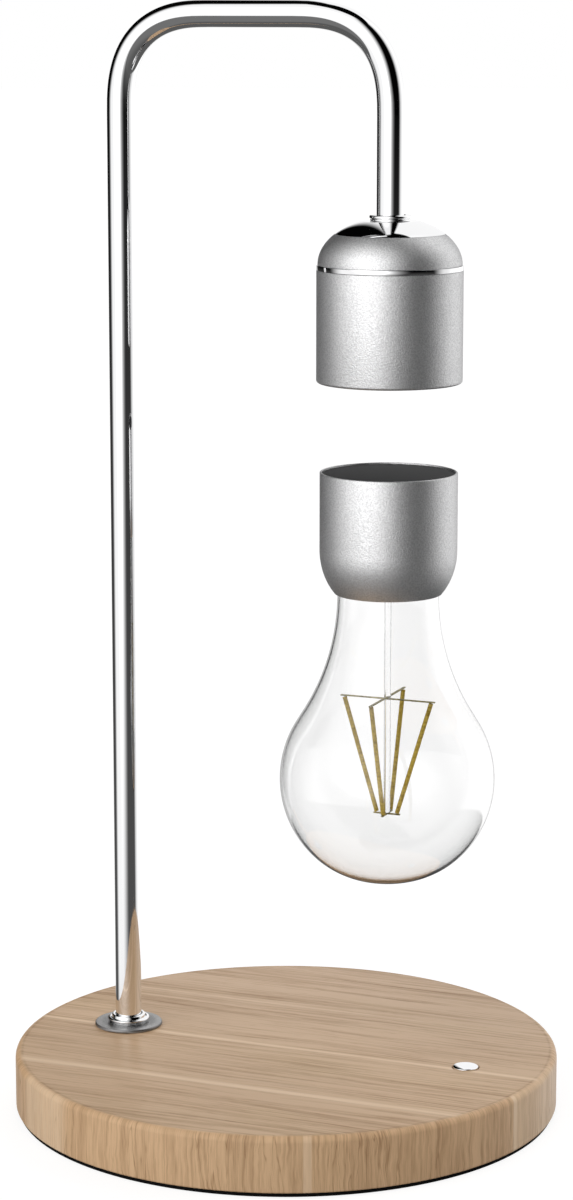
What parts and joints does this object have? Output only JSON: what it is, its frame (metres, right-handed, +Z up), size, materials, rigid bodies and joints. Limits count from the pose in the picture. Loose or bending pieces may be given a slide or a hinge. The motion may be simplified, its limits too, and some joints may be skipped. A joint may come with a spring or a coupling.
{
  "type": "magnetic balance lamp",
  "caption": "Desk lamp with a round wooden base, a swan-neck tube and a filament bulb that floats below a magnetic head.",
  "frame": {"origin": "centre of the underside, on the surface the lamp stands on", "axes": "+Z up; +X from the pole towards the head and the button; the arm lies in the XZ plane"},
  "size_m": [0.2, 0.2, 0.4023],
  "materials": {
    "oak": "oiled light oak, straight grain",
    "foot_rubber": "matt black",
    "black_plastic": "fine-textured black",
    "charcoal_plastic": "smooth charcoal",
    "chrome": "mirror polished",
    "satin_aluminium": "bead blasted, satin",
    "satin_steel": "satin steel",
    "clear_glass": "clear, blown",
    "stem_glass": "clear, drawn",
    "amber_phosphor": "amber coated filament",
    "nickel_ribbon": "dull nickel",
    "copper": "enamelled winding",
    "circuit_board": "green solder mask",
    "magnet_nickel": "nickel plated",
    "soft_iron": "plain",
    "cable_sheath": "black sheath"
  },
  "bodies": {
    "stand": {"base_disc": "oak", "base_cover": "black_plastic", "foot_pad": "foot_rubber", "control_board": "circuit_board", "cover_screw_1": "satin_steel", "cover_screw_2": "satin_steel", "cover_screw_3": "satin_steel", "cover_screw_4": "satin_steel", "board_screw_1": "satin_steel", "board_screw_2": "satin_steel", "dc_jack": "black_plastic", "jack_pin": "satin_steel", "switch_body": "black_plastic", "swan_neck_tube": "chrome", "arm_cable": "cable_sheath", "foot_flange": "satin_steel", "foot_collar": "chrome", "pole_washer": "satin_steel", "pole_nut": "satin_steel", "housing_barrel": "satin_aluminium", "housing_lid": "black_plastic", "accent_ring": "chrome", "housing_shoulder": "satin_aluminium", "housing_crown": "chrome", "head_collar": "chrome", "head_washer": "satin_steel", "head_nut": "satin_steel", "driver_board": "circuit_board", "sensor_board": "circuit_board", "sending_coil": "copper", "coil_bobbin": "black_plastic", "levitation_coil": "copper", "coil_core": "soft_iron", "holding_magnet": "magnet_nickel"},
    "float": {"float_magnet": "magnet_nickel"},
    "bulb": {"bulb_cap": "satin_aluminium", "cap_lid": "charcoal_plastic", "receiving_coil": "copper", "magnet_carrier": "black_plastic", "rectifier_board": "circuit_board", "glass_envelope": "clear_glass", "glass_stem": "stem_glass", "lead_wire_1": "nickel_ribbon", "lead_wire_2": "nickel_ribbon", "filament_1": "amber_phosphor", "filament_2": "amber_phosphor", "filament_3": "amber_phosphor", "filament_4": "amber_phosphor", "top_ribbon_x": "nickel_ribbon", "top_ribbon_y": "nickel_ribbon", "foot_cross": "nickel_ribbon"},
    "button": {"button_cap": "chrome", "switch_plunger": "black_plastic"}
  },
  "joints": [
    {"name": "bulb_float", "type": "slide", "parent": "stand", "child": "float", "axis": [0, 0, 1], "range_m": [-0.0655, 0.0315], "stiffness_N_per_m": 150, "springref_m": 0.00894},
    {"name": "bulb_spin", "type": "hinge", "parent": "float", "child": "bulb", "pos_m": [0.0392, 0, 0.2], "axis": [0, 0, 1], "continuous": true},
    {"name": "button_press", "type": "slide", "parent": "stand", "child": "button", "axis": [0, 0, -1], "range_m": [0, 0.0008], "stiffness_N_per_m": 1200, "springref_m": -0.0004}
  ]
}
